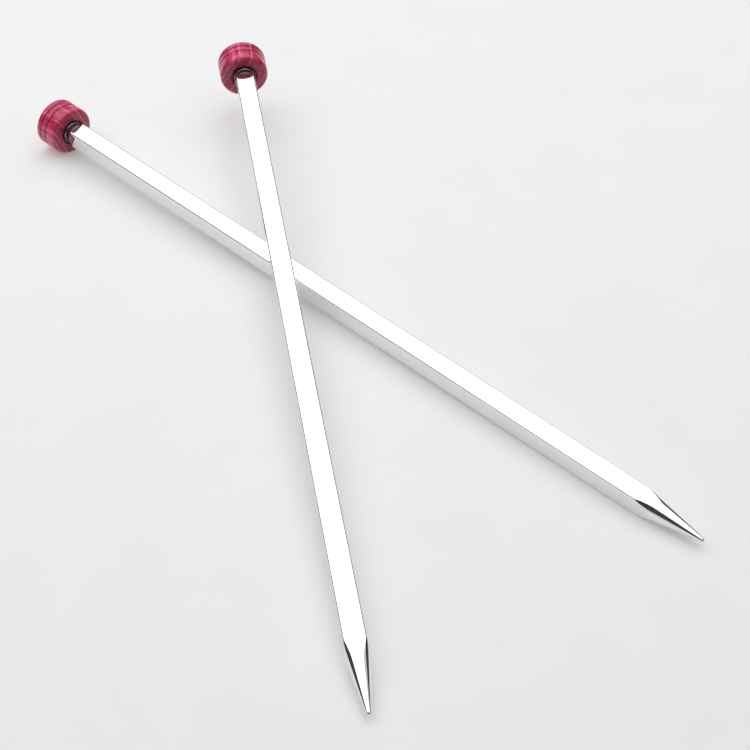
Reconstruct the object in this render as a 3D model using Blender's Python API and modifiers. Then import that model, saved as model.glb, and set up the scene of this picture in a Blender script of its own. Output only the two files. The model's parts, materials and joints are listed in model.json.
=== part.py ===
"""A pair of straight knitting needles, one lying across the other on a table.

Each needle is a square plated tube drawn down to a closed point at one end, with a turned end plug pressed
into the other. The plug's stud is glued into a round cap turned from laminated dyed wood.

Metres, +Z up. The lower needle lies along X with its point towards +X. The origin is at the middle of the
pair's bounding box, on the table. A needle's own frame has its point at the origin, its axis along +Z
towards the cap, and its upper flat facing +Y.
"""

from math import asin, atan2, cos, degrees, hypot, pi, radians, sin, sqrt, tan

import bmesh
import bpy
from mathutils import Matrix, Vector

# Needle
NEEDLE_LENGTH = 0.300
ACROSS_FLATS = 0.0070
EDGE_RADIUS = 0.00075
TUBE_WALL = 0.0006
GAP = 0.0002  # between pieces that touch

# Point
TAPER_LENGTH = 0.0233
TIP_RADIUS = 0.00075
BORE_START = 0.0270  # the tube is solid from its tip to here
SPIGOT_LENGTH = 0.0120

# Cap
CAP_LENGTH = 0.0104
CAP_RADIUS = 0.00885
CAP_FRONT_ROUND = 0.0017
CAP_BACK_ROUND = 0.0009
GROOVE_PITCH = 0.00265
GROOVE_WIDTH = 0.00045
GROOVE_DEPTH = 0.00030
RECESS_RADIUS = 0.0047
RECESS_DEPTH = 0.0014
RECESS_LIP = 0.0004
STUD_LENGTH = 0.0056

# End plug, seen as a round neck and a bead between the tube and the cap
NECK_LENGTH = 0.00325  # from the flats' end to the cap
NECK_RADIUS = 0.00395
NECK_ROUND = 0.00025
WAIST_RADIUS = 0.00370
BEAD_RADIUS = 0.00405
BEAD_HALF_WIDTH = 0.0008
CORNER_OVERLAP = 0.00045  # how far the tube's corners reach past the middle of its flats
STUD_RADIUS = 0.00370

# Lie of the pair on the table
CROSSING_ANGLE = radians(36.54)
LOWER_CROSSING = 0.17975  # from the lower point, along its axis
UPPER_CROSSING = 0.1912  # from the upper point, along its axis

TURNED_STEPS = 48
PLUG_STEPS = 32
SETTLING_ROUNDS = 20

CAP_FRONT = NEEDLE_LENGTH - CAP_LENGTH
FLATS_END = CAP_FRONT - NECK_LENGTH
HALF_FLATS = ACROSS_FLATS / 2
CORNER_RADIUS = (HALF_FLATS - EDGE_RADIUS) * sqrt(2) + EDGE_RADIUS
BORE_SIDE = ACROSS_FLATS - 2 * TUBE_WALL
SPIGOT_RADIUS = BORE_SIDE / 2 - GAP
SEAT_SLOPE = CORNER_OVERLAP / (CORNER_RADIUS - HALF_FLATS)


# ---------------------------------------------------------------- scene

def clear_scene():
    for obj in list(bpy.data.objects):
        bpy.data.objects.remove(obj, do_unlink=True)


def new_collection(name):
    collection = bpy.data.collections.new(name)
    bpy.context.scene.collection.children.link(collection)
    return collection


def principled(name, colour, roughness, metallic):
    material = bpy.data.materials.new(name)
    material.use_nodes = True
    shader = material.node_tree.nodes["Principled BSDF"]
    shader.inputs["Base Color"].default_value = (*colour, 1.0)
    shader.inputs["Roughness"].default_value = roughness
    shader.inputs["Metallic"].default_value = metallic
    return material


# ---------------------------------------------------------------- shapes

def arc(centre, radius, start, end, segments):
    """Points (r, z) along an arc; angles in degrees, 0 pointing out from the axis and 90 towards +Z."""
    points = []
    for i in range(segments + 1):
        angle = radians(start + (end - start) * i / segments)
        points.append((centre[0] + radius * cos(angle), centre[1] + radius * sin(angle)))
    return points


def rounded_square(side, radius, segments):
    """The corner arcs of a square outline, anticlockwise."""
    reach = side / 2 - radius
    points = []
    for corner in range(4):
        for i in range(segments + 1):
            angle = (corner + i / segments) * pi / 2
            turn = (corner + 0.5) * pi / 2
            middle = (reach * sqrt(2) * cos(turn), reach * sqrt(2) * sin(turn))
            points.append((middle[0] + radius * cos(angle), middle[1] + radius * sin(angle)))
    return points


def prism(name, outline, low, high):
    """A straight bar between two heights."""
    curve = bpy.data.curves.new(name, "CURVE")
    curve.dimensions = "2D"
    curve.fill_mode = "BOTH"
    curve.extrude = (high - low) / 2
    spline = curve.splines.new("POLY")
    spline.points.add(len(outline) - 1)
    for point, (x, y) in zip(spline.points, outline):
        point.co = (x, y, 0.0, 1.0)
    spline.use_cyclic_u = True
    guide = bpy.data.objects.new(name + "_outline", curve)
    bpy.context.scene.collection.objects.link(guide)
    guide.location.z = (low + high) / 2
    bpy.context.view_layer.update()
    bar = as_mesh(guide, name)
    bpy.data.objects.remove(guide)
    return bar


def as_mesh(source, name):
    """The evaluated shape of an object as a mesh object, with its coincident points made one."""
    graph = bpy.context.evaluated_depsgraph_get()
    mesh = bpy.data.meshes.new_from_object(source.evaluated_get(graph))
    mesh.name = name
    mesh.transform(source.matrix_world)
    body = bmesh.new()
    body.from_mesh(mesh)
    bmesh.ops.remove_doubles(body, verts=body.verts, dist=1e-7)
    bmesh.ops.recalc_face_normals(body, faces=body.faces)
    body.to_mesh(mesh)
    body.free()
    solid = bpy.data.objects.new(name, mesh)
    bpy.context.scene.collection.objects.link(solid)
    return solid


def turned(name, profile, steps=TURNED_STEPS):
    """A solid of revolution about Z. The profile (r, z) starts and ends on the axis and runs down its outside."""
    mesh = bpy.data.meshes.new(name)
    edges = [(i, i + 1) for i in range(len(profile) - 1)]
    mesh.from_pydata([(r, 0.0, z) for r, z in profile], edges, [])
    guide = bpy.data.objects.new(name + "_profile", mesh)
    bpy.context.scene.collection.objects.link(guide)
    screw = guide.modifiers.new("Turn", "SCREW")
    screw.steps = steps
    screw.render_steps = steps
    screw.use_merge_vertices = True
    screw.merge_threshold = 1e-6
    bpy.context.view_layer.update()
    solid = as_mesh(guide, name)
    bpy.data.objects.remove(guide)
    return solid


def combine(target, tool, operation):
    """Joins the tool to the target, cuts it away or keeps what they share, then removes the tool."""
    boolean = target.modifiers.new(operation.title(), "BOOLEAN")
    boolean.operation = operation
    boolean.solver = "EXACT"
    boolean.object = tool
    bpy.context.view_layer.update()
    graph = bpy.context.evaluated_depsgraph_get()
    mesh = bpy.data.meshes.new_from_object(target.evaluated_get(graph))
    target.modifiers.clear()
    target.data = mesh
    bpy.data.objects.remove(tool)
    return target


# ---------------------------------------------------------------- pieces of one needle

def point_envelope():
    """The turned shape the square bar is drawn down to: a ball end, a cone, and room for the whole bar."""
    cone_length = TAPER_LENGTH - TIP_RADIUS
    reach = hypot(CORNER_RADIUS, cone_length)
    half_angle = atan2(CORNER_RADIUS, cone_length) - asin(TIP_RADIUS / reach)
    clear = CORNER_RADIUS * 1.2
    clear_height = TAPER_LENGTH + (clear - CORNER_RADIUS) / tan(half_angle)
    profile = [(0.0, NEEDLE_LENGTH), (clear, NEEDLE_LENGTH), (clear, clear_height)]
    profile += arc((0.0, TIP_RADIUS), TIP_RADIUS, -degrees(half_angle), -90, 6)
    profile[-1] = (0.0, 0.0)
    return turned("point_envelope", profile)


def seat_height(radius):
    """The tube's cap end is cut to a shallow cone, so its corners reach past the middle of its flats."""
    return FLATS_END + (radius - HALF_FLATS) * SEAT_SLOPE


def make_shaft(name):
    """The square tube, drawn down to a closed point at one end and coned at the other."""
    clear = CORNER_RADIUS * 1.2
    bar = prism(name, rounded_square(ACROSS_FLATS, EDGE_RADIUS, 4), -TIP_RADIUS, seat_height(clear))
    bore = prism("bore", rounded_square(BORE_SIDE, EDGE_RADIUS - TUBE_WALL, 1), BORE_START, NEEDLE_LENGTH)
    seat = [(0.0, NEEDLE_LENGTH), (clear, NEEDLE_LENGTH), (clear, seat_height(clear)), (0.0, seat_height(0.0))]
    combine(bar, point_envelope(), "INTERSECT")
    combine(bar, bore, "DIFFERENCE")
    return combine(bar, turned("seat", seat), "DIFFERENCE")


def make_plug(name):
    """The end plug: a stud for the cap, a bead that seats in the cap's recess, a neck, and a spigot."""
    bead_middle = CAP_FRONT + RECESS_DEPTH - GAP - BEAD_HALF_WIDTH
    neck_foot = seat_height(NECK_RADIUS) + GAP
    waist = (bead_middle - BEAD_HALF_WIDTH + neck_foot) / 2
    stud_end = CAP_FRONT + RECESS_DEPTH + STUD_LENGTH - GAP
    spigot_end = FLATS_END - SPIGOT_LENGTH
    chamfer = STUD_RADIUS / 8
    rise = BEAD_RADIUS - WAIST_RADIUS
    profile = [(0.0, stud_end), (STUD_RADIUS - chamfer, stud_end), (STUD_RADIUS, stud_end - chamfer)]
    profile += [(STUD_RADIUS, bead_middle + BEAD_HALF_WIDTH)]
    for i in range(1, 9):
        across = 1 - i / 4
        profile.append((WAIST_RADIUS + rise * sqrt(1 - across * across), bead_middle + across * BEAD_HALF_WIDTH))
    profile += [(WAIST_RADIUS, waist), (NECK_RADIUS, waist - NECK_ROUND)]
    profile += arc((NECK_RADIUS - NECK_ROUND, neck_foot + NECK_ROUND), NECK_ROUND, 0, -75, 3)
    profile += [(SPIGOT_RADIUS, seat_height(SPIGOT_RADIUS) + GAP)]
    profile += [(SPIGOT_RADIUS, spigot_end + chamfer), (SPIGOT_RADIUS - chamfer, spigot_end), (0.0, spigot_end)]
    return turned(name, profile, PLUG_STEPS)


def make_cap(name):
    """The wooden cap: two thin grooves behind a broad rounded front, with a recess and a blind bore."""
    back = NEEDLE_LENGTH
    bore_end = CAP_FRONT + RECESS_DEPTH + STUD_LENGTH
    bore_radius = STUD_RADIUS + GAP
    profile = [(0.0, back)]
    profile += arc((CAP_RADIUS - CAP_BACK_ROUND, back - CAP_BACK_ROUND), CAP_BACK_ROUND, 90, 0, 4)
    for groove in (1, 2):
        middle = back - groove * GROOVE_PITCH
        for drop, depth in ((-0.5, 0.0), (-0.15, 1.0), (0.15, 1.0), (0.5, 0.0)):
            profile.append((CAP_RADIUS - depth * GROOVE_DEPTH, middle - drop * GROOVE_WIDTH))
    front = (CAP_RADIUS - CAP_FRONT_ROUND, CAP_FRONT + CAP_FRONT_ROUND)
    profile += arc(front, CAP_FRONT_ROUND, 0, -90, 6)
    profile += arc((RECESS_RADIUS + RECESS_LIP, CAP_FRONT + RECESS_LIP), RECESS_LIP, -90, -180, 3)
    profile += [(RECESS_RADIUS, CAP_FRONT + RECESS_DEPTH), (bore_radius, CAP_FRONT + RECESS_DEPTH)]
    profile += [(bore_radius, bore_end), (0.0, bore_end)]
    return turned(name, profile)


PIECES = (
    ("shaft", make_shaft, "nickel_plate"),
    ("end_plug", make_plug, "plug_metal"),
    ("cap", make_cap, "laminated_wood"),
)


def make_needle(name, materials, collection):
    """One needle's three pieces, under an empty at its point that will hold its place."""
    axis = bpy.data.objects.new(name + "_axis", None)
    collection.objects.link(axis)
    for piece, make, material in PIECES:
        solid = make(name + "_" + piece)
        solid.data.materials.clear()
        solid.data.materials.append(materials[material])
        solid.data.shade_smooth()
        solid.data.set_sharp_from_angle(angle=radians(30))
        bpy.context.scene.collection.objects.unlink(solid)
        collection.objects.link(solid)
        solid.parent = axis
    return axis


# ---------------------------------------------------------------- how the pair lies

def direction(heading, rise):
    return Vector((cos(heading) * cos(rise), sin(heading) * cos(rise), sin(rise)))


def needle_place(tip, axis, normal):
    """The matrix that takes a needle's own frame to the table."""
    side = normal.cross(axis)
    place = Matrix((side, normal, axis)).transposed().to_4x4()
    place.translation = tip
    return place


def lowest(place, corners):
    return min((place @ corner).z for corner in corners)


def lie_of_pair(shaft_corners, cap_corners):
    """Places of the lower and upper needle, as they come to rest.

    Both points touch the table and so does the lower cap. The upper needle lies flat to flat across the
    lower one, so the two share the normal of the crossing flats. The rises are found by repeating, because
    each depends a little on the other.
    """
    lower_rise = radians(1)
    upper_rise = radians(3)
    for _ in range(SETTLING_ROUNDS):
        lower = direction(pi, lower_rise)
        upper = direction(pi - CROSSING_ANGLE, upper_rise)
        normal = lower.cross(upper).normalized()
        if normal.z < 0:
            normal.negate()
        lower_place = needle_place(Vector(), lower, normal)
        lower_place.translation.z = -lowest(lower_place, shaft_corners)
        over = lower_place.translation + LOWER_CROSSING * lower + (ACROSS_FLATS + GAP) * normal
        upper_place = needle_place(over - UPPER_CROSSING * upper, upper, normal)
        lower_rise -= lowest(lower_place, cap_corners) / NEEDLE_LENGTH
        upper_rise += lowest(upper_place, shaft_corners) / UPPER_CROSSING
    return lower_place, upper_place


def centre_on_table(axes, collection):
    """Moves both needles so that the pair's bounding box is centred over the origin and stands on the table."""
    bpy.context.view_layer.update()
    corners = []
    for solid in collection.objects:
        if solid.type == "MESH":
            corners += [solid.matrix_world @ vertex.co for vertex in solid.data.vertices]
    low = Vector([min(point[k] for point in corners) for k in range(3)])
    high = Vector([max(point[k] for point in corners) for k in range(3)])
    shift = Vector((-(low.x + high.x) / 2, -(low.y + high.y) / 2, -low.z))
    for axis in axes:
        axis.location += shift
    bpy.context.view_layer.update()


def main():
    clear_scene()
    collection = new_collection("straight_knitting_needles")
    materials = {
        "nickel_plate": principled("nickel_plate", (0.88, 0.89, 0.90), 0.08, 1.0),
        "plug_metal": principled("plug_metal", (0.55, 0.53, 0.55), 0.15, 1.0),
        "laminated_wood": principled("laminated_wood", (0.62, 0.10, 0.22), 0.32, 0.0),
    }
    lower = make_needle("lower", materials, collection)
    upper = make_needle("upper", materials, collection)
    shaft_corners = [vertex.co.copy() for vertex in bpy.data.objects["lower_shaft"].data.vertices]
    cap_corners = [vertex.co.copy() for vertex in bpy.data.objects["lower_cap"].data.vertices]
    lower.matrix_world, upper.matrix_world = lie_of_pair(shaft_corners, cap_corners)
    centre_on_table((lower, upper), collection)


main()
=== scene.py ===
"""A crossed pair of square nickel-plated knitting needles on a pale table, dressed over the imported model.

Each needle is modelled in its own frame and placed by the record's mounts: its point at the origin, its
axis along +Z towards the cap, its upper flat facing +Y. Metres throughout.
"""

import json
from math import asin, atan2, cos, hypot, pi, radians, sin, sqrt, tan

import bmesh
import bpy
from mathutils import Matrix, Vector


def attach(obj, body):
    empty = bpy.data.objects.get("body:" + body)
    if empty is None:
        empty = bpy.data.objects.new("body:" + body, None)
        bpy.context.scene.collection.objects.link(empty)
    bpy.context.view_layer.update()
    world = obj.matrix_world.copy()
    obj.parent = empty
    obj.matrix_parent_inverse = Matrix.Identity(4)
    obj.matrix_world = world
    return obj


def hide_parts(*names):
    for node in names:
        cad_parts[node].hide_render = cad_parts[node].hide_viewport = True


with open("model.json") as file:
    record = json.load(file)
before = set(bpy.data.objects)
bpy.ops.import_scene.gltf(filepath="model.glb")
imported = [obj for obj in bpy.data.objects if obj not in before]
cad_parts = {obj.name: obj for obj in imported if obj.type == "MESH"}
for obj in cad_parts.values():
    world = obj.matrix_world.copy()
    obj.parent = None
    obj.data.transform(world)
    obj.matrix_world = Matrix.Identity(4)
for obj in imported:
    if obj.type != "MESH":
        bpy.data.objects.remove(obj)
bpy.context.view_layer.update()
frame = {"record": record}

# The design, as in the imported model
NEEDLE_LENGTH = 0.300
ACROSS_FLATS = 0.0070
EDGE_RADIUS = 0.00075
TUBE_WALL = 0.0006
GAP = 0.0002
TAPER_LENGTH = 0.0233
TIP_RADIUS = 0.00075
SPIGOT_LENGTH = 0.0120
CAP_LENGTH = 0.0104
CAP_RADIUS = 0.00885
CAP_FRONT_ROUND = 0.0017
CAP_BACK_ROUND = 0.0009
GROOVE_PITCH = 0.00265
GROOVE_WIDTH = 0.00045
GROOVE_DEPTH = 0.00030
RECESS_RADIUS = 0.0047
RECESS_DEPTH = 0.0014
RECESS_LIP = 0.0004
STUD_LENGTH = 0.0056
NECK_LENGTH = 0.00325
NECK_RADIUS = 0.00395
NECK_ROUND = 0.00025
WAIST_RADIUS = 0.00370
BEAD_RADIUS = 0.00405
BEAD_HALF_WIDTH = 0.0008
CORNER_OVERLAP = 0.00045
STUD_RADIUS = 0.00370

CAP_FRONT = NEEDLE_LENGTH - CAP_LENGTH
FLATS_END = CAP_FRONT - NECK_LENGTH
HALF_FLATS = ACROSS_FLATS / 2
CORNER_RADIUS = (HALF_FLATS - EDGE_RADIUS) * sqrt(2) + EDGE_RADIUS
BORE_HALF = HALF_FLATS - TUBE_WALL
SPIGOT_RADIUS = BORE_HALF - GAP
SEAT_SLOPE = CORNER_OVERLAP / (CORNER_RADIUS - HALF_FLATS)

# Finish of the meshes
CREASE_BLEND = 0.00010  # softness of the polished crease between the flats and the cone
BLEND_REACH = 6  # the crease is softened where the two surfaces are within this many blends
RIM_CHAMFER = 0.00006  # round the tube's cut end
BORE_SHOWN = 0.014  # depth of bore that the skin has, past the spigot's end
CONE_RINGS = 150
TIP_RINGS = 14
FLAT_RINGS = 24
SKIN_INSET = 0.00002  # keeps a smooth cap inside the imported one's facets
ROUND_STEPS = 160
SHARP_ROUND = 40  # degrees between faces that make a hard edge on a turned piece
SHARP_SHAFT = 32
VENEER = 0.0008  # thickness of one dyed layer of a cap
OWN_FRAME = "needle_frame"  # each mesh keeps its needle's own coordinates under this name

# Lights, as radiances. A level panel's edges are metres left, right, in front and behind
MAIN_PANEL = {"height": 1.0, "left": 1.4, "right": 0.75, "front": 0.50, "back": 1.7, "radiance": 1.78}
SIDE_PANEL = {"height": 1.05, "left": -0.7, "right": 1.9, "front": 0.2, "back": 1.5, "radiance": 0.6}
LOW_CARD = {"azimuth": radians(125), "width": 1.1, "height": 0.28, "distance": 1.4, "radiance": 0.55}
ROOM_COLOUR = (0.97, 0.98, 1.0, 1.0)
ROOM_STRENGTH = 0.055
TABLE_GLOW = 0.235
TABLE_SIDE = 6.0

# Camera, about the middle of the pair on the table
CAMERA_AZIMUTH = radians(-45.892)
CAMERA_ELEVATION = radians(41.713)
CAMERA_DISTANCE = 0.6375
CAMERA_TARGET = Vector((0.0270, 0.0098, 0.0))
SENSOR_WIDTH = 36.0
LENS = 94.4


# ---------------------------------------------------------------- places

def mount(name):
    for entry in frame["record"]["mounts"]:
        if entry["name"] == name:
            return Vector(entry["pos_m"]), Vector(entry["axis"]).normalized()
    raise KeyError(name)


def needle_place(name):
    """The matrix from a needle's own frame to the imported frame, read from the mounts.

    The upper needle lies flat to flat across the lower one, so its flat gives both needles' upward normal.
    """
    back, axis = mount(name + "_cap_end")
    normal = mount("upper_shaft_flat")[1]
    side = normal.cross(axis).normalized()
    normal = axis.cross(side)
    place = Matrix((side, normal, axis)).transposed().to_4x4()
    place.translation = back - axis * NEEDLE_LENGTH
    return place


# ---------------------------------------------------------------- meshes

def mesh_object(name, verts, faces, sharp_degrees):
    mesh = bpy.data.meshes.new(name)
    mesh.from_pydata(verts, [], faces)
    body = bmesh.new()
    body.from_mesh(mesh)
    bmesh.ops.remove_doubles(body, verts=body.verts, dist=1e-8)
    bmesh.ops.recalc_face_normals(body, faces=body.faces)
    body.to_mesh(mesh)
    body.free()
    mesh.shade_smooth()
    mesh.set_sharp_from_angle(angle=radians(sharp_degrees))
    obj = bpy.data.objects.new(name, mesh)
    bpy.context.scene.collection.objects.link(obj)
    return obj


def ring_surface(name, rings, sharp_degrees):
    """A closed skin through rings of equal count; the first and last ring close on a single point."""
    count = len(rings[0])
    verts = [point for ring in rings for point in ring]
    faces = []
    for i in range(len(rings) - 1):
        for j in range(count):
            k = (j + 1) % count
            faces.append((i * count + j, i * count + k, (i + 1) * count + k, (i + 1) * count + j))
    first = len(verts)
    verts.append(tuple(sum(p[k] for p in rings[0]) / count for k in range(3)))
    verts.append(tuple(sum(p[k] for p in rings[-1]) / count for k in range(3)))
    last = (len(rings) - 1) * count
    for j in range(count):
        k = (j + 1) % count
        faces.append((first, k, j))
        faces.append((first + 1, last + j, last + k))
    return mesh_object(name, verts, faces, sharp_degrees)


def lathe(name, profile):
    """A solid of revolution from a profile (r, z) that starts and ends on the axis."""
    turns = [2 * pi * j / ROUND_STEPS for j in range(ROUND_STEPS)]
    rings = []
    for r, z in profile:
        r = max(r, 1e-6)
        rings.append([(r * cos(turn), r * sin(turn), z) for turn in turns])
    return ring_surface(name, rings, SHARP_ROUND)


def arc(centre, radius, start, end, segments):
    """Points (r, z) along an arc; angles in degrees, 0 pointing out from the axis and 90 towards +Z."""
    points = []
    for i in range(segments + 1):
        angle = radians(start + (end - start) * i / segments)
        points.append((centre[0] + radius * cos(angle), centre[1] + radius * sin(angle)))
    return points


def square_radius(angle, half, corner):
    """Distance from the axis to a rounded square's outline in a direction."""
    turn = (angle + pi / 4) % (pi / 2) - pi / 4
    flat = half / cos(turn)
    reach = half - corner
    if flat * abs(sin(turn)) <= reach:
        return flat
    along = reach * (cos(turn) + abs(sin(turn)))
    return along + sqrt(along * along - 2 * reach * reach + corner * corner)


def outline_angles():
    """Directions round a square section: few across a flat, close together round a corner."""
    edge = atan2(HALF_FLATS - EDGE_RADIUS, HALF_FLATS)
    angles = []
    for quarter in range(4):
        base = quarter * pi / 2
        for i in range(-10, 11):
            angles.append(base + edge * sin(i / 10 * pi / 2))
        for i in range(1, 10):
            angles.append(base + edge + (pi / 2 - 2 * edge) * i / 10)
    return angles


def cone_slope():
    reach = hypot(CORNER_RADIUS, TAPER_LENGTH - TIP_RADIUS)
    return atan2(CORNER_RADIUS, TAPER_LENGTH - TIP_RADIUS) - asin(TIP_RADIUS / reach)


def envelope_radius(height):
    """The turned envelope: a ball end that runs into a cone."""
    half_angle = cone_slope()
    touch = TIP_RADIUS * (1 - sin(half_angle))
    if height < touch:
        return sqrt(max(TIP_RADIUS ** 2 - (TIP_RADIUS - height) ** 2, 0.0))
    return TIP_RADIUS * cos(half_angle) + (height - touch) * tan(half_angle)


def blended(a, b):
    """The smaller of two radii, with a soft change from one to the other."""
    softness = max(1 - abs(a - b) / (BLEND_REACH * CREASE_BLEND), 0.0)
    return min(a, b) - CREASE_BLEND * softness ** 3 / 4


def seat_height(radius):
    """Height of the tube's coned end at a distance from the axis."""
    return FLATS_END + (radius - HALF_FLATS) * SEAT_SLOPE


def make_shaft(name):
    """The square tube with its drawn point, its scooped end and the mouth of its bore."""
    angles = outline_angles()
    ball_turn = pi / 2 - cone_slope()
    heights = [TIP_RADIUS * (1 - cos(i / TIP_RINGS * ball_turn)) for i in range(1, TIP_RINGS)]
    touch = TIP_RADIUS * (1 - sin(cone_slope()))
    cone_end = TAPER_LENGTH * 1.03
    heights += [touch + (cone_end - touch) * i / CONE_RINGS for i in range(CONE_RINGS + 1)]
    flats_start = 0.030
    flats_stop = FLATS_END - 0.004
    heights += [flats_start + (flats_stop - flats_start) * i / FLAT_RINGS for i in range(FLAT_RINGS + 1)]
    rings = []
    for height in heights:
        ring = []
        for angle in angles:
            r = square_radius(angle, HALF_FLATS, EDGE_RADIUS)
            if height < flats_start:
                r = blended(r, envelope_radius(height))
            ring.append((r * cos(angle), r * sin(angle), height))
        rings.append(ring)
    outer = [square_radius(angle, HALF_FLATS, EDGE_RADIUS) for angle in angles]
    inner = [square_radius(angle, BORE_HALF, EDGE_RADIUS - TUBE_WALL) for angle in angles]
    for inset, drop in ((0.0, 3.0), (0.0, 1.0), (0.3, 0.3), (1.0, 0.0)):
        ring = []
        for r, angle in zip(outer, angles):
            r -= inset * RIM_CHAMFER
            ring.append((r * cos(angle), r * sin(angle), seat_height(r) - drop * RIM_CHAMFER))
        rings.append(ring)
    rings.append([(r * cos(a), r * sin(a), seat_height(r)) for r, a in zip(inner, angles)])
    for depth in (0.001, BORE_SHOWN):
        rings.append([(r * cos(a), r * sin(a), FLATS_END - depth) for r, a in zip(inner, angles)])
    return ring_surface(name, rings, SHARP_SHAFT)


def make_plug(name):
    """The end plug, with a bead that seats in the cap's recess, a waist, and a rounded neck at the tube."""
    bead_middle = CAP_FRONT + RECESS_DEPTH - GAP - BEAD_HALF_WIDTH
    neck_foot = seat_height(NECK_RADIUS) + GAP
    waist = (bead_middle - BEAD_HALF_WIDTH + neck_foot) / 2
    stud_end = CAP_FRONT + RECESS_DEPTH + STUD_LENGTH - GAP
    spigot_end = FLATS_END - SPIGOT_LENGTH
    chamfer = STUD_RADIUS / 8
    bead_rise = BEAD_RADIUS - WAIST_RADIUS
    neck_rise = NECK_RADIUS - WAIST_RADIUS
    profile = [(0.0, stud_end), (STUD_RADIUS - chamfer, stud_end), (STUD_RADIUS, stud_end - chamfer)]
    profile += [(STUD_RADIUS, bead_middle + BEAD_HALF_WIDTH)]
    for i in range(1, 29):
        turn = pi * i / 28
        profile.append((WAIST_RADIUS + bead_rise * sin(turn), bead_middle + BEAD_HALF_WIDTH * cos(turn)))
    for i in range(13):
        part = i / 12
        profile.append((WAIST_RADIUS + neck_rise * (1 - cos(part * pi)) / 2, waist - NECK_ROUND * part))
    profile += arc((NECK_RADIUS - NECK_ROUND, neck_foot + NECK_ROUND), NECK_ROUND, 0, -75, 10)
    profile += [(SPIGOT_RADIUS, seat_height(SPIGOT_RADIUS) + GAP), (SPIGOT_RADIUS, spigot_end + chamfer)]
    profile += [(SPIGOT_RADIUS - chamfer, spigot_end), (0.0, spigot_end)]
    return lathe(name, profile)


def make_cap(name):
    """The wooden cap: two thin grooves behind a broad rounded front, with a recess and a blind bore."""
    back = NEEDLE_LENGTH
    radius = CAP_RADIUS - SKIN_INSET
    bore_end = CAP_FRONT + RECESS_DEPTH + STUD_LENGTH
    bore_radius = STUD_RADIUS + GAP
    profile = [(0.0, back), (radius * 0.5, back)]
    profile += arc((radius - CAP_BACK_ROUND, back - CAP_BACK_ROUND), CAP_BACK_ROUND, 90, 0, 14)
    for groove in (1, 2):
        middle = back - groove * GROOVE_PITCH
        for i in range(17):
            across = 1 - i / 8
            depth = GROOVE_DEPTH * (1 + cos(across * pi)) / 2
            profile.append((radius - depth, middle + across * GROOVE_WIDTH / 2))
    front = (radius - CAP_FRONT_ROUND, CAP_FRONT + CAP_FRONT_ROUND)
    profile += arc(front, CAP_FRONT_ROUND, 0, -90, 20)
    profile += arc((RECESS_RADIUS + RECESS_LIP, CAP_FRONT + RECESS_LIP), RECESS_LIP, -90, -180, 8)
    profile += [(RECESS_RADIUS, CAP_FRONT + RECESS_DEPTH), (bore_radius, CAP_FRONT + RECESS_DEPTH)]
    profile += [(bore_radius, bore_end), (0.0, bore_end)]
    return lathe(name, profile)


# ---------------------------------------------------------------- materials

class Nodes:
    """A small helper that adds nodes to a material and links them."""

    def __init__(self, name):
        self.material = bpy.data.materials.new(name)
        self.material.use_nodes = True
        self.tree = self.material.node_tree
        self.shader = self.tree.nodes["Principled BSDF"]

    def add(self, kind, inputs=None, **settings):
        node = self.tree.nodes.new(kind)
        for key, value in settings.items():
            setattr(node, key, value)
        for key, value in (inputs or {}).items():
            self.feed(value, node.inputs[key])
        return node

    def feed(self, value, socket):
        if isinstance(value, bpy.types.NodeSocket):
            self.tree.links.new(value, socket)
        elif isinstance(value, bpy.types.Node):
            self.tree.links.new(value.outputs[0], socket)
        else:
            socket.default_value = value

    def math(self, operation, *values):
        node = self.tree.nodes.new("ShaderNodeMath")
        node.operation = operation
        for i, value in enumerate(values):
            self.feed(value, node.inputs[i])
        return node.outputs[0]

    def ramp(self, factor, stops, interpolation="LINEAR"):
        node = self.tree.nodes.new("ShaderNodeValToRGB")
        node.color_ramp.interpolation = interpolation
        elements = node.color_ramp.elements
        while len(elements) < len(stops):
            elements.new(1.0)
        for element, (position, colour) in zip(elements, stops):
            element.position = position
            element.color = (*colour, 1.0)
        self.feed(factor, node.inputs[0])
        return node.outputs[0]

    def mix(self, factor, a, b, blend="MIX"):
        node = self.tree.nodes.new("ShaderNodeMix")
        node.data_type = "RGBA"
        node.blend_type = blend
        self.feed(factor, node.inputs[0])
        self.feed(a, node.inputs[6])
        self.feed(b, node.inputs[7])
        return node.outputs[2]

    def noise(self, where, scale=1.0, **inputs):
        """Noise at a place, with its node's other inputs by name."""
        named = {key.capitalize(): value for key, value in inputs.items()}
        return self.add("ShaderNodeTexNoise", {"Vector": where, "Scale": scale, **named})

    def stretched(self, scale):
        """The needle's own coordinates, stretched."""
        own = self.add("ShaderNodeAttribute", attribute_name=OWN_FRAME)
        mapping = self.add("ShaderNodeMapping", {"Vector": own.outputs["Vector"], "Scale": scale})
        return mapping.outputs[0]


def nickel_material():
    """Bright nickel plate: very fine lengthwise polishing lines and faint handling marks."""
    n = Nodes("nickel_plate")
    lines = n.noise(n.stretched((9000, 9000, 90)), detail=3.0)
    haze = n.noise(n.stretched((260, 260, 60)), detail=4.0)
    rough = n.math("MULTIPLY_ADD", haze.outputs[0], 0.06, 0.035)
    rough = n.math("MULTIPLY_ADD", lines.outputs[0], 0.03, rough)
    tint = n.ramp(haze.outputs[0], [(0.3, (0.84, 0.845, 0.855)), (0.7, (0.88, 0.88, 0.885))])
    bump = n.add("ShaderNodeBump", {"Height": lines.outputs[0], "Strength": 0.05, "Distance": 0.00002})
    n.feed(tint, n.shader.inputs["Base Color"])
    n.feed(rough, n.shader.inputs["Roughness"])
    n.feed(bump, n.shader.inputs["Normal"])
    n.shader.inputs["Metallic"].default_value = 1.0
    return n.material


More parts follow.
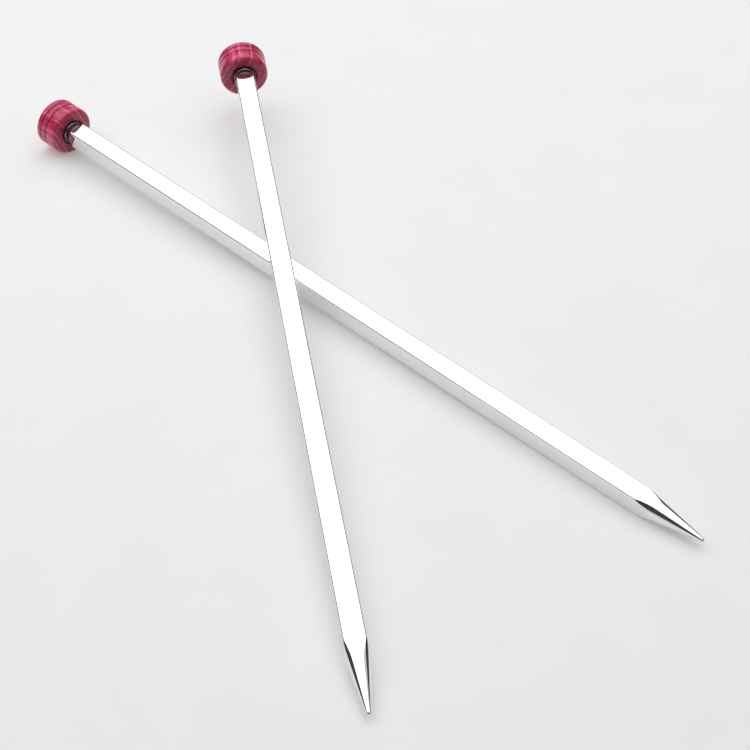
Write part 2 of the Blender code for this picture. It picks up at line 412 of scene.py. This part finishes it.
def plug_material():
    """Turned, fairly rough metal with fine tool rings round its axis. Its dark purple-grey base colour is a
    painted reflection of the cap's shaded red front.
    """
    n = Nodes("plug_metal")
    rings = n.noise(n.stretched((300, 300, 9000)), detail=2.0)
    haze = n.noise(n.stretched((900, 900, 900)), detail=3.0)
    # Painted reflection: the dark purple-grey tint stands in for the cap's shaded red front mirrored in the
    # plug
    tint = n.ramp(haze.outputs[0], [(0.3, (0.20, 0.165, 0.195)), (0.7, (0.34, 0.30, 0.34))])
    rough = n.math("MULTIPLY_ADD", rings.outputs[0], 0.16, 0.26)
    bump = n.add("ShaderNodeBump", {"Height": rings.outputs[0], "Strength": 0.25, "Distance": 0.00004})
    n.feed(tint, n.shader.inputs["Base Color"])
    n.feed(rough, n.shader.inputs["Roughness"])
    n.feed(bump, n.shader.inputs["Normal"])
    n.shader.inputs["Metallic"].default_value = 1.0
    return n.material


def wood_material(name, turn, shift):
    """Dyed veneers glued face to face and turned, so the layers show as bands along the cap's side."""
    n = Nodes(name)
    own = n.add("ShaderNodeAttribute", attribute_name=OWN_FRAME)
    spin = n.add("ShaderNodeMapping", {"Vector": own.outputs["Vector"]})
    spin.inputs["Rotation"].default_value = (0.0, 0.0, turn)
    spin.inputs["Location"].default_value = (shift, 0.0, 0.0)
    warp = n.noise(spin.outputs[0], 220.0, detail=2.0)
    split = n.add("ShaderNodeSeparateXYZ", {"Vector": spin.outputs[0]})
    across = n.math("MULTIPLY_ADD", warp.outputs[0], VENEER * 0.7, split.outputs[0])
    layer = n.math("MULTIPLY", across, 1 / VENEER)
    shade = n.add("ShaderNodeTexWhiteNoise", {"W": n.math("FLOOR", layer)}, noise_dimensions="1D")
    dye = n.ramp(shade.outputs[0], [
        (0.00, (0.50, 0.014, 0.080)),
        (0.20, (0.66, 0.045, 0.140)),
        (0.44, (0.54, 0.020, 0.140)),
        (0.64, (0.84, 0.085, 0.220)),
        (0.84, (0.60, 0.022, 0.080)),
    ], "CONSTANT")
    blotch = n.noise(spin.outputs[0], 300.0, detail=3.0)
    cover = n.ramp(blotch.outputs[0], [(0.35, (0, 0, 0)), (0.65, (0.55, 0.55, 0.55))])
    colour = n.mix(cover, dye, (0.74, 0.040, 0.145, 1.0))
    fibre = n.noise(n.stretched((2100, 2100, 150)), detail=4.0, roughness=0.6)
    streak = n.ramp(fibre.outputs[0], [
        (0.34, (0.48, 0.34, 0.42)), (0.50, (0.95, 0.95, 0.95)), (0.64, (1.25, 2.3, 1.7))])
    colour = n.mix(0.9, colour, streak, "MULTIPLY")
    pores = n.noise(n.stretched((7000, 7000, 500)), detail=2.0)
    flecks = n.ramp(pores.outputs[0], [(0.36, (0.45, 0.35, 0.40)), (0.48, (1.0, 1.0, 1.0))])
    colour = n.mix(0.6, colour, flecks, "MULTIPLY")
    joint = n.ramp(n.math("FRACT", layer), [
        (0.0, (0.45, 0.35, 0.42)), (0.10, (1, 1, 1)), (0.90, (1, 1, 1)), (1.0, (0.45, 0.35, 0.42))])
    colour = n.mix(0.7, colour, joint, "MULTIPLY")

    # The grooves are darkened as painted shade inside them, and the front face is painted browner and
    # darker than the side as shade, since less light falls on it
    height = n.add("ShaderNodeSeparateXYZ", {"Vector": own.outputs["Vector"]}).outputs[2]
    # Painted shade: the colour is darkened within the two grooves
    first = n.math("COMPARE", height, NEEDLE_LENGTH - GROOVE_PITCH, GROOVE_WIDTH * 0.5)
    second = n.math("COMPARE", height, NEEDLE_LENGTH - 2 * GROOVE_PITCH, GROOVE_WIDTH * 0.5)
    colour = n.mix(n.math("ADD", first, second), colour, (0.22, 0.005, 0.035, 1.0))
    # Painted shade: the front face's colour is darkened and browned, as if less light reached it
    front = n.add("ShaderNodeMapRange", {
        "Value": height, "From Min": CAP_FRONT + CAP_FRONT_ROUND * 0.8, "From Max": CAP_FRONT}).outputs[0]
    colour = n.mix(front, colour, (0.74, 1.0, 0.70, 1.0), "MULTIPLY")
    rough = n.math("MULTIPLY_ADD", fibre.outputs[0], 0.20, 0.28)
    bump = n.add("ShaderNodeBump", {"Height": fibre.outputs[0], "Strength": 0.30, "Distance": 0.00008})
    n.feed(colour, n.shader.inputs["Base Color"])
    n.feed(rough, n.shader.inputs["Roughness"])
    n.feed(bump, n.shader.inputs["Normal"])
    n.shader.inputs["Specular IOR Level"].default_value = 0.35
    n.shader.inputs["Coat Weight"].default_value = 0.35
    n.shader.inputs["Coat Roughness"].default_value = 0.16
    return n.material


# ---------------------------------------------------------------- the needles

def dress(obj, material, node, body, place):
    """Puts a skin in its place with its material, attaches it to its body, and hides the imported node it
    stands in for.
    """
    own = obj.data.attributes.new(OWN_FRAME, "FLOAT_VECTOR", "POINT")
    own.data.foreach_set("vector", [value for vertex in obj.data.vertices for value in vertex.co])
    obj.data.transform(place)
    obj.data.materials.append(material)
    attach(obj, body)
    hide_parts(node)


nickel = nickel_material()
plug_metal = plug_material()
woods = {
    "lower": wood_material("laminated_wood_lower", turn=radians(20), shift=0.0003),
    "upper": wood_material("laminated_wood_upper", turn=radians(-35), shift=0.0009),
}
for which in ("lower", "upper"):
    place = needle_place(which)
    body = which + "_needle"
    dress(make_shaft(which + "_shaft_skin"), nickel, which + "_shaft", body, place)
    dress(make_plug(which + "_plug_skin"), plug_metal, which + "_end_plug", body, place)
    dress(make_cap(which + "_cap_skin"), woods[which], which + "_cap", body, place)


# ---------------------------------------------------------------- table, light and camera

def table_material():
    """A white table that glows with painted light of its own, which keeps the shadows pale."""
    n = Nodes("table")
    where = n.add("ShaderNodeTexCoord")
    mottle = n.noise(where.outputs["Object"], 40.0, detail=2.0)
    tint = n.ramp(mottle.outputs[0], [(0.3, (0.600, 0.600, 0.604)), (0.7, (0.615, 0.615, 0.615))])
    n.feed(tint, n.shader.inputs["Base Color"])
    # Painted light: the table glows, so the shadows on it stay pale
    n.shader.inputs["Emission Color"].default_value = (1.0, 1.0, 1.0, 1.0)
    n.shader.inputs["Emission Strength"].default_value = TABLE_GLOW
    n.shader.inputs["Roughness"].default_value = 0.7
    n.shader.inputs["Specular IOR Level"].default_value = 0.2
    return n.material


def make_table():
    mesh = bpy.data.meshes.new("table")
    half = TABLE_SIDE / 2
    corners = [(-half, -half, 0), (half, -half, 0), (half, half, 0), (-half, half, 0)]
    mesh.from_pydata(corners, [], [(0, 1, 2, 3)])
    mesh.materials.append(table_material())
    table = bpy.data.objects.new("table", mesh)
    bpy.context.scene.collection.objects.link(table)


def around(azimuth, elevation):
    """A direction from the scene, with azimuth counted from straight away from the camera, to the left."""
    heading = CAMERA_AZIMUTH + pi + azimuth
    return Vector((cos(heading) * cos(elevation), sin(heading) * cos(elevation), sin(elevation)))


def area_light(name, width, height, radiance):
    """A rectangular light, without a place yet, that looks equally bright at any size."""
    light = bpy.data.lights.new(name, "AREA")
    light.shape = "RECTANGLE"
    light.size = width
    light.size_y = height
    light.energy = radiance * pi * width * height
    obj = bpy.data.objects.new(name, light)
    bpy.context.scene.collection.objects.link(obj)
    return obj


def overhead_panel(name, height, left, right, front, back, radiance):
    """A level light over the table, square to the camera."""
    away = around(0, 0)
    leftward = around(pi / 2, 0)
    panel = area_light(name, left + right, front + back, radiance)
    panel.matrix_world = Matrix((-leftward, away, Vector((0, 0, 1)))).transposed().to_4x4()
    panel.location = leftward * (left - right) / 2 + away * (back - front) / 2 + Vector((0, 0, height))


def standing_card(name, azimuth, width, height, distance, radiance):
    """An upright light that stands on the table and faces the needles."""
    outward = around(azimuth, 0)
    card = area_light(name, width, height, radiance)
    card.location = outward * distance + Vector((0, 0, height / 2))
    card.rotation_euler = outward.to_track_quat("Z", "Y").to_euler()


def light_room():
    overhead_panel("main_panel", **MAIN_PANEL)
    overhead_panel("side_panel", **SIDE_PANEL)
    standing_card("low_card", **LOW_CARD)
    world = bpy.data.worlds.new("studio")
    world.use_nodes = True
    background = world.node_tree.nodes["Background"]
    background.inputs["Color"].default_value = ROOM_COLOUR
    background.inputs["Strength"].default_value = ROOM_STRENGTH
    bpy.context.scene.world = world


def place_camera():
    data = bpy.data.cameras.new("camera")
    data.sensor_width = SENSOR_WIDTH
    data.lens = LENS
    data.clip_start = 0.01
    camera = bpy.data.objects.new("camera", data)
    bpy.context.scene.collection.objects.link(camera)
    toward = around(pi, CAMERA_ELEVATION)
    camera.location = CAMERA_TARGET + toward * CAMERA_DISTANCE
    camera.rotation_euler = (-toward).to_track_quat("-Z", "Y").to_euler()
    bpy.context.scene.camera = camera


make_table()
light_room()
place_camera()
bpy.context.scene.view_settings.view_transform = "Standard"
